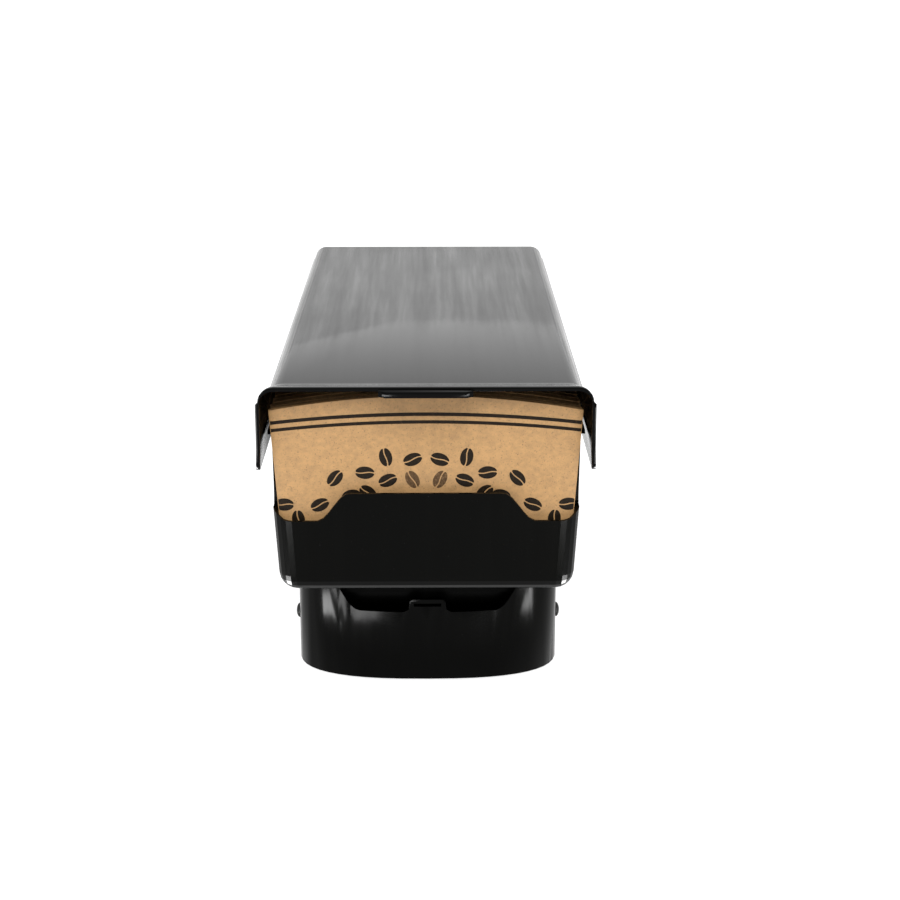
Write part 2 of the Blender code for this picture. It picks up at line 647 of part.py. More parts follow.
def lid_section(rise, out, inside=False):
    """Right half of the lid's section, from the middle of the top to the skirt's edge."""
    wall = LID_WALL if inside else 0.0
    top = LID_TOP + rise
    step = top - LID_STEP_DEPTH
    skirt = LID_SHOULDER_HALF + out - wall
    shoulder = skirt if inside else skirt - LID_STEP
    radius = LID_CORNER - (wall - LID_STEP if inside else 0.0)
    corner = [(shoulder - radius + radius * math.sin(angle),
               top - wall - radius + radius * math.cos(angle))
              for angle in spread(0.0, math.pi / 2, 7)]
    lip = max(LID_SKIRT_HALF, LID_SHOULDER_HALF + out) - wall
    return ([(0.0, top - wall)] + corner + [(skirt, step - wall), (skirt, step - wall - STEP_EASE),
            (lip, TRAY_TOP + STEP_EASE), (lip + SKIRT_SPREAD, LID_TOP - LID_DEPTH)])


def blended_section(flare, inside):
    """Lid section between the plain one and the flared one at the rim."""
    plain = lid_section(0.0, 0.0, inside)
    flared = lid_section(LID_FLARE_RISE, LID_FLARE_OUT, inside)
    half = [(a + (c - a) * flare, b + (d - b) * flare)
            for (a, b), (c, d) in zip(plain, flared)]
    return [(-x, z) for x, z in reversed(half[1:])] + half


def make_trough():
    """The lid's top, skirts and back wall: sections joined along the lid's length."""
    flare_shares = spread(0.0, 1.0, 7)
    stations = [(FRONT + share * LID_FLARE_LENGTH, 1.0 - smooth_step(share, 0.0, 1.0))
                for share in flare_shares]
    stations.append((BACK, 0.0))
    shape = bmesh.new()
    rows = []
    for y, flare in stations:
        outer = [shape.verts.new((x, y, z)) for x, z in blended_section(flare, False)]
        inner_y = min(y, BACK - LID_WALL)
        inner = [shape.verts.new((x, inner_y, z)) for x, z in blended_section(flare, True)]
        rows.append((outer, inner))
    count = len(rows[0][0])
    for (outer, inner), (outer_next, inner_next) in zip(rows, rows[1:]):
        for index in range(count - 1):
            after = index + 1
            shape.faces.new((outer[index], outer[after], outer_next[after], outer_next[index]))
            shape.faces.new((inner[index], inner_next[index], inner_next[after], inner[after]))
        for index in (0, count - 1):
            shape.faces.new((outer[index], outer_next[index], inner_next[index], inner[index]))
    outer, inner = rows[0]
    for index in range(count - 1):
        shape.faces.new((outer[index], inner[index], inner[index + 1], outer[index + 1]))
    outer, inner = rows[-1]
    shape.faces.new(outer)
    shape.faces.new(inner)
    shape.faces.new((outer[0], outer[-1], inner[-1], inner[0]))
    bmesh.ops.recalc_face_normals(shape, faces=shape.faces)
    mesh = bpy.data.meshes.new("lid")
    shape.to_mesh(mesh)
    shape.free()
    trough = bpy.data.objects.new("lid", mesh)
    bpy.context.scene.collection.objects.link(trough)
    return trough


def make_lid(body):
    """Inverted trough that flares at its front rim, with a pull tab and hinge lugs."""
    lid = make_trough()
    top = LID_TOP + LID_FLARE_RISE
    tab_top = top - TAB_DROP
    side = TAB_HALF - TAB_CORNER
    tip = FRONT - TAB_REACH
    shoulder = FRONT - TAB_REACH / 2
    root = FRONT + TAB_ROOT
    outline = [(-TAB_HALF, root), (-TAB_HALF, shoulder), (-side, tip), (side, tip),
               (TAB_HALF, shoulder), (TAB_HALF, root)]
    tab = outline_solid([outline], TAB_THICK, lying_flat(tab_top - TAB_THICK / 2))
    inner = KNUCKLE_X + SEAT_GAP
    outer = inner + KNUCKLE_WIDTH
    edge = LID_TOP - LID_BACK_DEPTH
    foot = LID_TOP - LID_DEPTH
    below = foot - EMBED * 4
    side_edge = LID_SHOULDER_HALF - LID_WALL - EMBED
    near = BACK - 2 * LID_WALL
    far = BACK + LID_WALL
    notches = [box((-inner - EMBED, near, below), (inner + EMBED, far, edge))]
    joined = [tab]
    for side in (-1, 1):
        xs = sorted((side * inner, side * outer))
        joined.append(cylinder(KNUCKLE_RADIUS, (xs[0], HINGE_Y, HINGE_Z), (xs[1], HINGE_Y, HINGE_Z)))
        xs = sorted((side * (outer - EMBED), side * side_edge))
        notches.append(box((xs[0], near, below), (xs[1], far, edge)))
    corner = [(FRONT + SKIRT_CORNER - SKIRT_CORNER * math.sin(angle),
               foot + SKIRT_CORNER - SKIRT_CORNER * math.cos(angle))
              for angle in spread(-0.05, math.pi / 2 + 0.05, 9)]
    corner += [(FRONT - PAST, foot + SKIRT_CORNER), (FRONT - PAST, foot - PAST),
               (FRONT + SKIRT_CORNER, foot - PAST)]
    notches.append(outline_solid([corner], 4 * ACROSS, facing_side(0)))
    combine(lid, notches, "DIFFERENCE")
    pin = cylinder(HINGE_PIN_RADIUS + HOLE_CLEARANCE, (-ACROSS, HINGE_Y, HINGE_Z),
                   (ACROSS, HINGE_Y, HINGE_Z))
    combine(lid, joined, "UNION")
    combine(lid, [pin], "DIFFERENCE")
    return as_part(apply_and_shade(lid), "lid_shell", "black_gloss", body)


def make_hinge_pin(body):
    reach = KNUCKLE_X + SEAT_GAP + KNUCKLE_WIDTH + SEAT_GAP
    pin = cylinder(HINGE_PIN_RADIUS, (-reach, HINGE_Y, HINGE_Z), (reach, HINGE_Y, HINGE_Z))
    as_part(round_shading(pin), "hinge_pin", "zinc_steel", body)
    for name, side in (("hinge_cap_left", -1), ("hinge_cap_right", 1)):
        turn = Vector((side, 0, 0)).to_track_quat("Z", "Y").to_matrix().to_4x4()
        place = Matrix.Translation((side * (reach + SEAT_GAP), HINGE_Y, HINGE_Z)) @ turn
        cap = turned([(0, CAP_WIDTH), (CAP_RADIUS * 0.6, CAP_WIDTH), (CAP_RADIUS, CAP_WIDTH * 0.5),
                      (CAP_RADIUS, 0), (0, 0)], place)
        as_part(round_shading(cap), name, "black_matte", body)


def make_pusher(body):
    """Follower plate on a carriage that rides the tray's rails."""
    plate_top = SLEEVE_FOOT + PUSHER_HEIGHT
    half = SLEEVE_FOOT_HALF - PUSHER_INSET
    outline = [(half + SLEEVE_TAPER * (PUSHER_HEIGHT - PUSHER_CORNER), plate_top - PUSHER_CORNER),
               (half + SLEEVE_TAPER * PUSHER_HEIGHT - PUSHER_CORNER, plate_top),
               (-half - SLEEVE_TAPER * PUSHER_HEIGHT + PUSHER_CORNER, plate_top),
               (-half - SLEEVE_TAPER * (PUSHER_HEIGHT - PUSHER_CORNER), plate_top - PUSHER_CORNER),
               (-half, CARRIAGE_FOOT), (half, CARRIAGE_FOOT)]
    plate = outline_solid([outline], PUSHER_THICK, facing_front(PUSHER_FRONT + PUSHER_THICK / 2))
    holes = []
    screw_z = CARRIAGE_FOOT + GUSSET_HEIGHT * 0.6
    for side in (-1, 1):
        x = side * (GUSSET_X + GUSSET_WIDTH / 2)
        holes.append(cylinder(SCREW_RADIUS + HOLE_CLEARANCE, (x, PUSHER_FRONT + PUSHER_SKIN, screw_z),
                              (x, PUSHER_FRONT + PAST, screw_z), 16))
    combine(plate, holes, "DIFFERENCE")
    as_part(apply_and_shade(plate), "pusher_plate", "black_matte", body)

    start = PUSHER_FRONT + PUSHER_THICK + SEAT_GAP
    slab = box((-half, start, CARRIAGE_FOOT), (half, start + CARRIAGE_LENGTH,
                                               CARRIAGE_FOOT + CARRIAGE_THICK))
    joined = []
    cuts = []
    cheek_inner = BAND_WIDTH / 2 + DRUM_FLANGE_THICK + 2 * SEAT_GAP
    for side in (-1, 1):
        xs = sorted((side * GUSSET_X, side * (GUSSET_X + GUSSET_WIDTH)))
        joined.append(box((xs[0], start, CARRIAGE_FOOT + EMBED),
                          (xs[1], start + GUSSET_THICK, CARRIAGE_FOOT + GUSSET_HEIGHT)))
        xs = sorted((side * cheek_inner, side * (cheek_inner + CHEEK_THICK)))
        joined.append(box((xs[0], SPOOL_Y - CHEEK_LENGTH / 2,
                           CARRIAGE_FOOT + CARRIAGE_THICK - CHEEK_HEIGHT),
                          (xs[1], SPOOL_Y + CHEEK_LENGTH / 2, CARRIAGE_FOOT + CARRIAGE_THICK)))
        x = side * (GUSSET_X + GUSSET_WIDTH / 2)
        cuts.append(cylinder(SCREW_RADIUS + HOLE_CLEARANCE, (x, start - PAST, screw_z),
                             (x, start + PAST, screw_z), 16))
    well = box((-cheek_inner, SPOOL_Y - COIL_RADIUS - 0.0015, CARRIAGE_FOOT - PAST),
               (cheek_inner, SPOOL_Y + COIL_RADIUS + 0.0015, CARRIAGE_FOOT + PAST))
    cuts.append(well)
    cuts.append(cylinder(AXLE_RADIUS + HOLE_CLEARANCE, (-ACROSS, SPOOL_Y, SPOOL_Z),
                         (ACROSS, SPOOL_Y, SPOOL_Z)))
    combine(slab, joined, "UNION")
    combine(slab, cuts, "DIFFERENCE")
    as_part(apply_and_shade(slab), "pusher_carriage", "black_matte", body)

    seat = start + GUSSET_THICK + SEAT_GAP
    length = seat - PUSHER_FRONT - 2 * PUSHER_SKIN
    for number, side in enumerate((-1, 1), start=1):
        x = side * (GUSSET_X + GUSSET_WIDTH / 2)
        make_screw(f"pusher_screw_{number}", (x, seat, screw_z), (0, -1, 0), length, body)
    axle_half = cheek_inner + CHEEK_THICK + 0.001
    axle = cylinder(AXLE_RADIUS, (-axle_half, SPOOL_Y, SPOOL_Z), (axle_half, SPOOL_Y, SPOOL_Z))
    as_part(round_shading(axle), "spool_axle", "zinc_steel", body)


def make_spool(body):
    """Drum on the axle, with the wound spring round it."""
    turn = Vector((1, 0, 0)).to_track_quat("Z", "Y").to_matrix().to_4x4()
    place = Matrix.Translation((0, SPOOL_Y, SPOOL_Z)) @ turn
    inner = BAND_WIDTH / 2 + SEAT_GAP
    outer = inner + DRUM_FLANGE_THICK
    flange = DRUM_FLANGE_RADIUS
    bore = AXLE_RADIUS + HOLE_CLEARANCE
    drum = turned([(bore, outer), (flange, outer), (flange, inner), (DRUM_RADIUS, inner),
                   (DRUM_RADIUS, -inner), (flange, -inner), (flange, -outer), (bore, -outer)],
                  place, ring=True)
    as_part(round_shading(drum), "spring_drum", "black_matte", body)
    width = BAND_WIDTH / 2
    hole = DRUM_RADIUS + SEAT_GAP
    coil = turned([(hole, width), (COIL_RADIUS, width), (COIL_RADIUS, -width), (hole, -width)],
                  place, 32, ring=True)
    as_part(round_shading(coil), "spring_coil", "spring_steel", body)


def make_band(body):
    """Steel band from the hook at the front to the coil, and the hook over its post."""
    half = BAND_WIDTH / 2
    hook_back = HOOK_Y + HOOK_POST_THICK + SEAT_GAP + HOOK_THICK
    band = box((-half, hook_back + SEAT_GAP, BAND_FOOT), (half, SPOOL_Y, BAND_FOOT + BAND_THICK))
    as_part(band, "spring_band", "spring_steel", body)
    top = TRAY_FLOOR + HOOK_POST_HEIGHT + SEAT_GAP
    near = HOOK_Y - SEAT_GAP
    far = HOOK_Y + HOOK_POST_THICK + SEAT_GAP
    foot = BAND_FOOT
    outline = [(near - HOOK_THICK, top + HOOK_THICK), (near - HOOK_THICK, foot + 0.002),
               (near, foot + 0.002), (near, top), (far, top), (far, foot),
               (far + HOOK_THICK, foot), (far + HOOK_THICK, top + HOOK_THICK)]
    hook = outline_solid([outline], BAND_WIDTH, facing_side(0))
    as_part(hook, "spring_hook", "spring_steel", body)


clear_scene()
PARTS = new_collection("cup_sleeve_dispenser")
CUTTERS = new_collection("cutters")
new_material("black_gloss", (0.012, 0.012, 0.011), 0.22)
new_material("black_matte", (0.018, 0.018, 0.017), 0.50)
new_material("rubber", (0.020, 0.020, 0.020), 0.85)
new_material("zinc_steel", (0.55, 0.55, 0.54), 0.35, 1.0)
new_material("spring_steel", (0.42, 0.44, 0.47), 0.28, 1.0)
new_material("kraft", (0.56, 0.36, 0.17), 0.85)

stand = new_empty("stand_body", (0, 0, 0))
tray_body = new_empty("tray_tilt_axis", (0, PIVOT_Y, PIVOT_HEIGHT), stand)
lid_body = new_empty("lid_hinge_axis", (0, HINGE_Y, HINGE_Z), tray_body)
pusher_body = new_empty("pusher_slide_axis", (0, PUSHER_FRONT, CARRIAGE_FOOT), tray_body)
spool_body = new_empty("spool_axis", (0, SPOOL_Y, SPOOL_Z), pusher_body)

make_stand_shell(stand)
make_stand_plate(stand)
make_feet(stand)
make_stand_screws(stand)
make_pivot_pins(stand)
make_tray(tray_body)
make_keel(tray_body)
make_keel_screws(tray_body)
make_sleeves(tray_body)
make_hinge_pin(tray_body)
make_band(tray_body)
make_lid(lid_body)
make_pusher(pusher_body)
make_spool(spool_body)
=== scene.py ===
"""Looks of the countertop cup sleeve dispenser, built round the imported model.

Units are metres. -Y is the front, +Z is up, and positions come from model.glb.
"""
import math
import random

import bmesh
import bpy
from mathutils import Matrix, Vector


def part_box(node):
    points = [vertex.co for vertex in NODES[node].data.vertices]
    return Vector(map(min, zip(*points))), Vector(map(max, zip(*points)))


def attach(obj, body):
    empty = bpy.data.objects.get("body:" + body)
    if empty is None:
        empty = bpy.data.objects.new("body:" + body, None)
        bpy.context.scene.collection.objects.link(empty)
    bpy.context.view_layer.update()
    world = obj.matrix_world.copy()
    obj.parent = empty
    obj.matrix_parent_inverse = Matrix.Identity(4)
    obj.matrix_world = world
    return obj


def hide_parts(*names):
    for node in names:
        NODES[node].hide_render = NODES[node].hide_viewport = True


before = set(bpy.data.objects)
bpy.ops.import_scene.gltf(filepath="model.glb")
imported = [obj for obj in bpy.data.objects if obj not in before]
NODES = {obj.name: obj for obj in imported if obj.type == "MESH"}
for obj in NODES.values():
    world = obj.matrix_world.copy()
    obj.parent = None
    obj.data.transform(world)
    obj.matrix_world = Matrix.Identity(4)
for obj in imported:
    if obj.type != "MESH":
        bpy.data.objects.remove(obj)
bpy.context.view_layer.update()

MM = 0.001

# Camera: a 70 mm view from the front, a little above the mouth
LENS = 69.96
SENSOR = 36.0
CAMERA_PLACE = (0.0040, -0.8573, 0.3479)
CAMERA_PITCH = 17.13
CAMERA_YAW = -0.49

# Sleeves
FLUTE_PITCH = 2.4 * MM
FLUTE_DEPTH = 0.35 * MM
FOOT_RISE = 4.5 * MM         # how far the foot's edge bows up over its corners
SHEET_SHARE = 0.46           # each sheet of the front sleeve, of its whole thickness
PACK_COUNT = 62
PACK_FILL = 0.90             # a folded sleeve's thickness, of its pitch in the pack
FOLD_START = 0.965           # where a sleeve starts to round into its fold, of its half width
RIB_ZOOM = 20.0
RIB_SCALE = 20.1384          # with the zoom, ribs about 0.8 mm apart

# Print
PRINT_LIFT = 0.03 * MM       # how far the ink stands off the board
EDGE_MARGIN = 0.35 * MM      # bare board at the sleeve's sides
BEAN_HALF_LENGTH = 4.1 * MM
BEAN_HALF_WIDTH = 2.75 * MM
CREASE_HALF = 0.24 * MM
STRIPE_EASE = 2.2 * MM       # how much less the stripes bow than the top edge
STRIPES = ((6.9 * MM, 1.5 * MM), (10.2 * MM, 1.4 * MM))      # depth below the top, width
BEANS_UP = 7.6               # added to every bean's height
# Right half of the print, in mm and degrees: place across, height, tilt, pale or not
BEANS = ((5.7, 32.0, -20, False), (17.0, 33.0, 78, False), (5.8, 23.2, 62, True),
         (16.2, 22.8, -22, False), (25.8, 26.2, 3, False), (38.4, 23.8, -48, False),
         (24.6, 17.4, 38, False), (31.6, 16.0, -12, False), (45.0, 12.0, -25, False),
         (60.0, 12.2, 2, False), (54.2, 5.6, 84, False), (7.5, 13.6, 30, False),
         (17.5, 11.0, -50, False), (36.0, 8.4, 55, False), (27.0, 6.0, 12, False))

# Studio
FLOOR_SIZE = 14.0
FLOOR_GREY = 0.82
FLOOR_GLOW = 0.80            # added where the floor is seen or mirrored
WORLD_LEVEL = 0.42           # light that the surroundings throw
WORLD_SEEN = 1.0             # level at which they are seen or mirrored
LEFT_WATTS = (2.4, 0.75)     # low card, near card
RIGHT_WATTS = (2.1, 0.60)
OVERHEAD_WATTS = 15.5
NEAR_CARD_TURN = 40


# ---------------------------------------------------------------- helpers

def new_object(name, data):
    item = bpy.data.objects.new(name, data)
    bpy.context.scene.collection.objects.link(item)
    return item


def mesh_object(name, vertices, faces, smooth=True):
    mesh = bpy.data.meshes.new(name)
    mesh.from_pydata(vertices, [], faces)
    mesh.validate()
    shape = bmesh.new()
    shape.from_mesh(mesh)
    bmesh.ops.recalc_face_normals(shape, faces=shape.faces)
    shape.to_mesh(mesh)
    shape.free()
    if smooth:
        mesh.shade_smooth()
        mesh.set_sharp_from_angle(angle=math.radians(40))
    return new_object(name, mesh)


def spread(start, end, count):
    return [start + (end - start) * index / (count - 1) for index in range(count)]


class Nodes:
    """A short way to write a material's node tree."""

    def __init__(self, name):
        self.material = bpy.data.materials.new(name)
        self.material.use_nodes = True
        self.tree = self.material.node_tree
        self.shader = self.tree.nodes["Principled BSDF"]

    def add(self, kind, **values):
        node = self.tree.nodes.new(kind)
        for key, value in values.items():
            if key.startswith("in_"):
                node.inputs[key[3:].replace("_", " ")].default_value = value
            else:
                setattr(node, key, value)
        return node

    def link(self, source, output, target, entry):
        self.tree.links.new(source.outputs[output], target.inputs[entry])

    def coordinates(self, scale=(1.0, 1.0, 1.0)):
        place = self.add("ShaderNodeTexCoord")
        mapping = self.add("ShaderNodeMapping")
        mapping.inputs["Scale"].default_value = scale
        self.link(place, "Object", mapping, "Vector")
        return mapping

    def noise(self, scale, detail=3.0, roughness=0.5, stretch=(1.0, 1.0, 1.0)):
        mapping = self.coordinates(stretch)
        noise = self.add("ShaderNodeTexNoise", in_Scale=scale, in_Detail=detail,
                         in_Roughness=roughness)
        self.link(mapping, "Vector", noise, "Vector")
        return noise

    def ramp(self, source, output, stops):
        ramp = self.add("ShaderNodeValToRGB")
        elements = ramp.color_ramp.elements
        elements[0].position, elements[0].color = stops[0][0], (*stops[0][1], 1.0)
        elements[1].position, elements[1].color = stops[-1][0], (*stops[-1][1], 1.0)
        for position, colour in stops[1:-1]:
            elements.new(position).color = (*colour, 1.0)
        self.link(source, output, ramp, "Fac")
        return ramp

    def span(self, source, output, low, high, from_low=0.3, from_high=0.7):
        span = self.add("ShaderNodeMapRange")
        span.inputs["From Min"].default_value = from_low
        span.inputs["From Max"].default_value = from_high
        span.inputs["To Min"].default_value = low
        span.inputs["To Max"].default_value = high
        self.link(source, output, span, "Value")
        return span

    def bump(self, source, output, strength, distance, below=None):
        bump = self.add("ShaderNodeBump")
        bump.inputs["Strength"].default_value = strength
        bump.inputs["Distance"].default_value = distance
        self.link(source, output, bump, "Height")
        if below:
            self.link(below, "Normal", bump, "Normal")
        return bump


    def mix(self, kind, source, output, other, other_output):
        mix = self.add("ShaderNodeMix", data_type="RGBA", blend_type=kind)
        mix.inputs[0].default_value = 1.0
        self.link(source, output, mix, 6)
        self.link(other, other_output, mix, 7)
        return mix


def seen_or_mirrored(tree):
    """A socket that is 1 for camera, glossy and transmission rays and 0 for the others."""
    path = tree.nodes.new("ShaderNodeLightPath")
    socket = path.outputs["Is Camera Ray"]
    for kind in ("Is Glossy Ray", "Is Transmission Ray"):
        total = tree.nodes.new("ShaderNodeMath")
        total.operation = "ADD"
        total.use_clamp = True
        tree.links.new(socket, total.inputs[0])
        tree.links.new(path.outputs[kind], total.inputs[1])
        socket = total.outputs[0]
    return socket


def grey(value):
    return (value, value, value)


# ---------------------------------------------------------------- materials

def moulded_plastic(name, colour, roughness, specular, flow_axis):
    """Black moulded plastic: faint flow lines, handling haze, fine grain and dust."""
    make = Nodes(name)
    stretch = [9.0, 9.0, 9.0]
    stretch[flow_axis] = 0.35
    flow = make.noise(22.0, 4.0, 0.6, tuple(stretch))
    haze = make.noise(9.0, 3.0, 0.55)
    grain = make.noise(2600.0, 2.0, 0.5)
    dust = make.noise(900.0, 2.0, 0.6)
    tint = make.ramp(haze, "Fac", [(0.35, tuple(c * 0.7 for c in colour)), (0.55, colour),
                                   (0.75, tuple(c * 1.35 for c in colour))])
    specks = make.ramp(dust, "Fac", [(0.72, grey(0.0)), (0.80, grey(0.015))])
    mix = make.mix("ADD", tint, "Color", specks, "Color")
    make.link(mix, 2, make.shader, "Base Color")
    rough_haze = make.span(haze, "Fac", roughness * 0.85, roughness * 1.2)
    rough_flow = make.span(flow, "Fac", -0.03, 0.04)
    total = make.add("ShaderNodeMath", operation="ADD")
    make.link(rough_haze, "Result", total, 0)
    make.link(rough_flow, "Result", total, 1)
    make.link(total, "Value", make.shader, "Roughness")
    wave = make.bump(flow, "Fac", 0.06, 0.12 * MM)
    fine = make.bump(grain, "Fac", 0.05, 0.05 * MM, wave)
    make.link(fine, "Normal", make.shader, "Normal")
    make.shader.inputs["Specular IOR Level"].default_value = specular
    return make.material


def rubber():
    make = Nodes("rubber")
    grain = make.noise(1400.0, 3.0, 0.6)
    tint = make.ramp(grain, "Fac", [(0.3, grey(0.012)), (0.7, grey(0.034))])
    make.link(tint, "Color", make.shader, "Base Color")
    rough = make.span(grain, "Fac", 0.75, 0.95)
    make.link(rough, "Result", make.shader, "Roughness")
    make.link(make.bump(grain, "Fac", 0.3, 0.1 * MM), "Normal", make.shader, "Normal")
    return make.material


def steel(name, colour, roughness, grain_axis):
    """Metal with a brushed grain along one axis and a few dull patches."""
    make = Nodes(name)
    stretch = [900.0, 900.0, 900.0]
    stretch[grain_axis] = 25.0
    brush = make.noise(1.0, 4.0, 0.6, tuple(stretch))
    patch = make.noise(60.0, 3.0, 0.5)
    tint = make.ramp(patch, "Fac", [(0.3, tuple(c * 0.8 for c in colour)), (0.7, colour)])
    make.link(tint, "Color", make.shader, "Base Color")
    rough = make.span(brush, "Fac", roughness * 0.8, roughness * 1.4)
    make.link(rough, "Result", make.shader, "Roughness")
    make.link(make.bump(brush, "Fac", 0.2, 0.05 * MM), "Normal", make.shader, "Normal")
    make.shader.inputs["Metallic"].default_value = 1.0
    return make.material


def kraft_board(name, colour, painted_shade=1.0):
    """Uncoated kraft liner: fibres, dark flecks and fine ribs; a shade factor below 1 darkens
    the whole board as painted shade.
    """
    make = Nodes(name)
    fibre = make.noise(620.0, 5.0, 0.65, (0.6, 1.0, 0.8))
    cloud = make.noise(170.0, 5.0, 0.65)
    fleck = make.noise(1500.0, 3.0, 0.7)
    low = tuple(c * 0.93 * painted_shade for c in colour)
    middle = tuple(c * painted_shade for c in colour)
    high = tuple(min(c * 1.05 * painted_shade, 1.0) for c in colour)
    tint = make.ramp(cloud, "Fac", [(0.30, low), (0.50, middle), (0.72, high)])
    streak = make.ramp(fibre, "Fac", [(0.30, grey(0.84)), (0.62, grey(1.05))])
    spots = make.ramp(fleck, "Fac", [(0.30, grey(0.50)), (0.42, grey(1.0))])
    streaked = make.mix("MULTIPLY", tint, "Color", streak, "Color")
    flecked = make.mix("MULTIPLY", streaked, 2, spots, "Color")
    make.link(flecked, 2, make.shader, "Base Color")
    rough = make.span(fibre, "Fac", 0.78, 0.92)
    make.link(rough, "Result", make.shader, "Roughness")
    make.shader.inputs["Specular IOR Level"].default_value = 0.25
    rib = make.add("ShaderNodeTexWave", in_Scale=RIB_SCALE, in_Distortion=0.6, in_Detail=1.0)
    rib.bands_direction = "X"
    place = make.coordinates((RIB_ZOOM, RIB_ZOOM, RIB_ZOOM))
    make.link(place, "Vector", rib, "Vector")
    lines = make.bump(rib, "Fac", 0.12, 0.10 * MM)
    fuzz = make.bump(fibre, "Fac", 0.25, 0.12 * MM, lines)
    make.link(fuzz, "Normal", make.shader, "Normal")
    return make.material


def printed_ink(name, colour):
    """Water-based ink on kraft: the board's fibres show through it."""
    make = Nodes(name)
    fibre = make.noise(900.0, 4.0, 0.7)
    tint = make.ramp(fibre, "Fac", [(0.30, tuple(c * 0.6 for c in colour)), (0.55, colour),
                                    (0.74, tuple(min(c * 2.4, 1.0) for c in colour))])
    make.link(tint, "Color", make.shader, "Base Color")
    make.shader.inputs["Roughness"].default_value = 0.85
    make.shader.inputs["Specular IOR Level"].default_value = 0.1
    make.link(make.bump(fibre, "Fac", 0.2, 0.05 * MM), "Normal", make.shader, "Normal")
    return make.material


BLACK_GLOSS = moulded_plastic("black_gloss_wall", (0.0009, 0.0010, 0.0006), 0.19, 0.045, 2)
BLACK_LID = moulded_plastic("black_gloss_lid", (0.0016, 0.0016, 0.0015), 0.11, 0.050, 1)
BLACK_MATTE = moulded_plastic("black_matte", (0.0050, 0.0050, 0.0046), 0.42, 0.20, 2)
RUBBER = rubber()
ZINC = steel("zinc_steel", (0.58, 0.58, 0.56), 0.32, 0)
SPRING = steel("spring_steel", (0.40, 0.43, 0.47), 0.25, 1)
KRAFT = (0.660, 0.385, 0.165)
KRAFT_FACE = kraft_board("kraft_face", KRAFT)
# The pack's board is the front sleeve's kraft darkened to 0.93, as painted shade for the sleeves
# behind it under the lid
KRAFT_PACK_PAINTED_SHADE = kraft_board("kraft_pack_painted_shade", KRAFT, 0.93)
INK = printed_ink("ink_dark", (0.016, 0.010, 0.005))
INK_LIGHT = printed_ink("ink_light", (0.150, 0.085, 0.040))

NODE_MATERIALS = {
    "stand_shell": BLACK_GLOSS, "tray_shell": BLACK_GLOSS, "tray_keel": BLACK_GLOSS,
    "lid_shell": BLACK_LID, "stand_plate": BLACK_MATTE, "pusher_plate": BLACK_MATTE,
    "pusher_carriage": BLACK_MATTE, "spring_drum": BLACK_MATTE, "pivot_pin": BLACK_MATTE,
    "hinge_cap": BLACK_MATTE, "rubber_foot": RUBBER, "stand_screw": ZINC, "keel_screw": ZINC,
    "pusher_screw": ZINC, "hinge_pin": ZINC, "spool_axle": ZINC, "spring_band": SPRING,
    "spring_coil": SPRING, "spring_hook": SPRING,
}
EDGE_RADII = {"lid_shell": 0.35 * MM, "stand_shell": 0.35 * MM, "stand_plate": 0.3 * MM,
              "pusher_plate": 0.5 * MM, "pusher_carriage": 0.4 * MM}


def finish_nodes():
    """Materials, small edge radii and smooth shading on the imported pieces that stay."""
    for name, item in NODES.items():
        for start, material in NODE_MATERIALS.items():
            if name.startswith(start):
                item.data.materials.clear()
                item.data.materials.append(material)
        item.data.shade_smooth()
        item.data.set_sharp_from_angle(angle=math.radians(32))
        if name in EDGE_RADII:
            weld = item.modifiers.new("weld", "WELD")
            weld.merge_threshold = 0.00001
            edge = item.modifiers.new("edge", "BEVEL")
            edge.width = EDGE_RADII[name]
            edge.segments = 2
            edge.limit_method = "ANGLE"
            edge.angle_limit = math.radians(50)
            edge.use_clamp_overlap = True
            edge.harden_normals = True


# ---------------------------------------------------------------- sleeves

SLEEVE_LOW, SLEEVE_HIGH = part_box("sleeve_front")
PACK_LOW, PACK_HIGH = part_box("sleeve_pack")


def corner_places():
    """Top and bottom corners of the folded sleeve's outline, from its solid."""
    points = [vertex.co for vertex in NODES["sleeve_front"].data.vertices]
    top_half = SLEEVE_HIGH.x
    top_corner = max(point.z for point in points if point.x > top_half - 0.3 * MM)
    foot = SLEEVE_LOW.z
    foot_half = max(point.x for point in points if point.z < foot + 0.2 * MM)
    return top_half, top_corner, foot_half, foot


TOP_HALF, TOP_CORNER, FOOT_HALF, FOOT = corner_places()
TOP_RISE = SLEEVE_HIGH.z - TOP_CORNER


def sleeve_point(across, up):
    """Place on the sleeve's face: across from -1 to 1, up from 0 at the foot to 1."""
    low_x = FOOT_HALF * across
    low_z = FOOT + FOOT_RISE * (1 - across * across)
    high_x = TOP_HALF * across
    high_z = TOP_CORNER + TOP_RISE * (1 - across * across)
    return low_x + (high_x - low_x) * up, low_z + (high_z - low_z) * up


def share_up(x, z):
    """How far up the face a point lies, from 0 at the foot to 1 at the top edge."""
    up = 0.5
    for _ in range(12):
        across = x / (FOOT_HALF + (TOP_HALF - FOOT_HALF) * up)
        low = FOOT + FOOT_RISE * (1 - across * across)
        high = TOP_CORNER + TOP_RISE * (1 - across * across)
        up = (z - low) / (high - low)
    return up


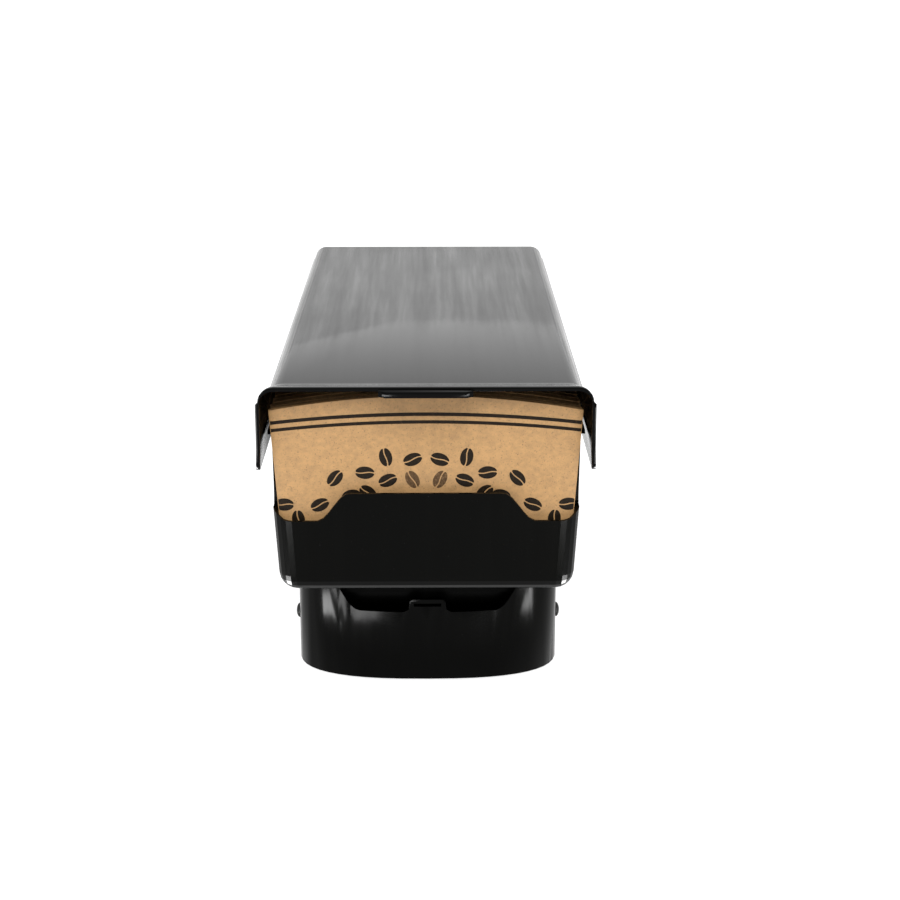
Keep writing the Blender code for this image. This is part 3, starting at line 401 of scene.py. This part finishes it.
def sleeve_mesh(near, thick, columns, rows, seed, shrink=1.0):
    """A closed flat sleeve with a rounded fold at each side and waves along both ends."""
    draw = random.Random(seed)
    drop = draw.uniform(0.0, 0.5) * MM
    shift = draw.uniform(-0.25, 0.25) * MM
    ring = [(-1.0 + 2.0 * index / columns, 0.0) for index in range(columns + 1)]
    ring += [(-1.0 + 2.0 * index / columns, 1.0) for index in range(columns, -1, -1)]
    count = len(ring)
    vertices = []
    for row in range(rows + 1):
        up = row / rows
        for across, side in ring:
            x, z = sleeve_point(across * shrink, up)
            edge = max(0.0, (abs(across) - FOLD_START) / (1.0 - FOLD_START))
            bulge = 0.5 - (0.5 - side) * (1.0 - 0.65 * edge * edge)
            wave = FLUTE_DEPTH * 0.5 * math.cos(math.tau * x / FLUTE_PITCH) * (1.0 - edge)
            y = near + thick * bulge
            if row in (0, rows):
                y += wave if side == 0 else -0.5 * wave
            vertices.append((x + shift, min(max(y, near), near + thick), z - drop * up))
    faces = []
    for row in range(rows):
        for index in range(count):
            after = (index + 1) % count
            faces.append((row * count + index, row * count + after,
                          (row + 1) * count + after, (row + 1) * count + index))
    for base in (0, rows * count):
        for index in range(count // 2 - 1):
            faces.append((base + index, base + index + 1, base + count - 2 - index,
                          base + count - 1 - index))
    return vertices, faces


def place_sleeve(name, mesh, material, replaced):
    item = mesh_object(name, *mesh)
    item.data.materials.append(material)
    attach(item, "tray")
    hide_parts(replaced)


def front_sleeve():
    """The sleeve in the mouth: two sheets with a thin gap between them."""
    near = SLEEVE_LOW.y
    thick = SLEEVE_HIGH.y - SLEEVE_LOW.y
    starts = (near, near + thick * (1.0 - SHEET_SHARE))
    for number, start in enumerate(starts):
        mesh = sleeve_mesh(start, thick * SHEET_SHARE, 216, 12, 3 + number)
        place_sleeve(f"sleeve_front_sheet_{number + 1}", mesh, KRAFT_FACE, "sleeve_front")


def sleeve_pack():
    """The folded sleeves behind, each a little out of line with its neighbours."""
    draw = random.Random(11)
    pitch = (PACK_HIGH.y - PACK_LOW.y) / PACK_COUNT
    for number in range(PACK_COUNT):
        columns = 108 if number < 4 else 54
        mesh = sleeve_mesh(PACK_LOW.y + number * pitch, pitch * PACK_FILL, columns, 3,
                           40 + number, draw.uniform(0.985, 0.998))
        # The folded sleeves take the kraft that is darkened as painted shade
        place_sleeve(f"folded_sleeve_{number + 1:02d}", mesh, KRAFT_PACK_PAINTED_SHADE, "sleeve_pack")


# ---------------------------------------------------------------- print

PRINT_Y = SLEEVE_LOW.y - PRINT_LIFT


def kept_on_face(x, z):
    """The point itself, or the nearest place across that is still on the face."""
    limit = FOOT_HALF + (TOP_HALF - FOOT_HALF) * share_up(x, z) - EDGE_MARGIN
    return min(max(x, -limit), limit), z


def printed(name, points, faces, material):
    """Flat printed shapes on the face, from (x, z) points."""
    item = mesh_object(name, [(x, PRINT_Y, z) for x, z in points], faces, smooth=False)
    item.data.materials.append(material)
    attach(item, "tray")


def printed_rings(name, rings, material):
    """Printed shapes that are each one closed ring of points."""
    points = []
    faces = []
    for ring in rings:
        faces.append(tuple(range(len(points), len(points) + len(ring))))
        points += ring
    printed(name, points, faces, material)


def bean_halves(x, z, tilt):
    """The two halves of a bean on either side of a gently curved crease."""
    turn = math.radians(tilt)
    halves = []
    for side in (-1, 1):
        ring = []
        for angle in spread(0.0, math.pi, 15):
            ring.append((BEAN_HALF_LENGTH * math.cos(angle),
                         side * BEAN_HALF_WIDTH * math.sin(angle)))
        ring = [(u, v) for u, v in ring if side * v > CREASE_HALF * 0.8]
        for share in spread(-0.9, 0.9, 9):
            bow = CREASE_HALF * 1.2 * math.sin(share * math.pi)
            ring.append((share * BEAN_HALF_LENGTH, side * CREASE_HALF + bow))
        placed = [(x + u * math.cos(turn) - v * math.sin(turn),
                   z + u * math.sin(turn) + v * math.cos(turn)) for u, v in ring]
        halves.append([kept_on_face(px, pz) for px, pz in placed])
    return halves


def bean_print():
    """Beans piled up towards the middle, the left half a mirror of the right."""
    dark = []
    pale = []
    for place, height, tilt, is_pale in BEANS:
        for side in (-1, 1):
            halves = bean_halves(side * place * MM, FOOT + (height + BEANS_UP) * MM, side * tilt)
            (pale if is_pale else dark).extend(halves)
    printed_rings("print_beans", dark, INK)
    printed_rings("print_beans_pale", pale, INK_LIGHT)


def stripe_print():
    """Two bowed stripes below the top edge."""
    shares = spread(-0.996, 0.996, 61)
    height = TOP_CORNER - FOOT
    points = []
    faces = []
    for below, width in STRIPES:
        start = len(points)
        for lower in (0.0, width / height):
            for across in shares:
                down = (below - STRIPE_EASE * across * across) / height
                points.append(sleeve_point(across, 1.0 - down - lower))
        for index in range(start, start + len(shares) - 1):
            after = index + len(shares)
            faces.append((index, index + 1, after + 1, after))
    printed("print_stripes", points, faces, INK)


# ---------------------------------------------------------------- stage

def floor_material():
    """White floor that keeps a soft shadow."""
    make = Nodes("floor_white")
    output = make.tree.nodes["Material Output"]
    make.shader.inputs["Base Color"].default_value = (*grey(FLOOR_GREY), 1.0)
    make.shader.inputs["Roughness"].default_value = 0.9
    make.shader.inputs["Specular IOR Level"].default_value = 0.0
    glow = make.add("ShaderNodeEmission")
    glow.inputs["Color"].default_value = (1.0, 1.0, 1.0, 1.0)
    level = make.add("ShaderNodeMath", operation="MULTIPLY")
    level.inputs[1].default_value = FLOOR_GLOW
    make.tree.links.new(seen_or_mirrored(make.tree), level.inputs[0])
    make.link(level, "Value", glow, "Strength")
    total = make.add("ShaderNodeAddShader")
    make.link(make.shader, "BSDF", total, 0)
    make.link(glow, "Emission", total, 1)
    make.link(total, "Shader", output, "Surface")
    return make.material


def make_stage():
    bpy.ops.mesh.primitive_plane_add(size=FLOOR_SIZE, location=(0, 0, 0))
    floor = bpy.context.object
    floor.name = "floor"
    floor.data.materials.append(floor_material())


def make_world():
    """Even white surroundings; seen and mirrored at full white."""
    world = bpy.data.worlds.new("studio")
    bpy.context.scene.world = world
    world.use_nodes = True
    tree = world.node_tree
    background = tree.nodes["Background"]
    background.inputs["Color"].default_value = (1.0, 1.0, 1.0, 1.0)
    span = tree.nodes.new("ShaderNodeMapRange")
    span.inputs["To Min"].default_value = WORLD_LEVEL
    span.inputs["To Max"].default_value = WORLD_SEEN
    tree.links.new(seen_or_mirrored(tree), span.inputs["Value"])
    tree.links.new(span.outputs["Result"], background.inputs["Strength"])


def make_lamp(name, place, target, size, watts):
    lamp = bpy.data.lights.new(name, "AREA")
    lamp.shape = "RECTANGLE"
    lamp.size, lamp.size_y = size
    lamp.energy = watts
    item = new_object(name, lamp)
    item.location = place
    item.rotation_euler = (Vector(target) - Vector(place)).to_track_quat("-Z", "Y").to_euler()
    return item


def make_lamps():
    """Low cards that only show as reflections on the upright corners, and one soft lamp."""
    for side, (low_watts, near_watts) in ((-1, LEFT_WATTS), (1, RIGHT_WATTS)):
        low_card = make_lamp("low_card", (side * 0.185, -0.36, 0.010),
                             (side * 0.06, -0.16, 0.09), (0.10, 0.20), low_watts)
        near_card = make_lamp("near_card", (side * 0.122, -0.160, 0.005), (0, 0, 1),
                              (0.085, 0.035), near_watts)
        near_card.rotation_euler = (math.pi, 0, math.radians(-side * NEAR_CARD_TURN))
        for lamp in (low_card, near_card):
            lamp.visible_diffuse = False
            lamp.visible_camera = False
    make_lamp("overhead", (0.0, -0.95, 1.25), (0, -0.1, 0.1), (1.2, 0.9), OVERHEAD_WATTS)


def make_camera():
    camera = bpy.data.cameras.new("camera")
    camera.lens = LENS
    camera.sensor_width = SENSOR
    item = new_object("camera", camera)
    item.location = CAMERA_PLACE
    item.rotation_euler = (math.radians(90 - CAMERA_PITCH), 0, math.radians(CAMERA_YAW))
    camera.clip_start = 0.01
    bpy.context.scene.camera = item


finish_nodes()
front_sleeve()
sleeve_pack()
stripe_print()
bean_print()

make_stage()
make_world()
make_lamps()
make_camera()

bpy.context.scene.view_settings.view_transform = "Standard"
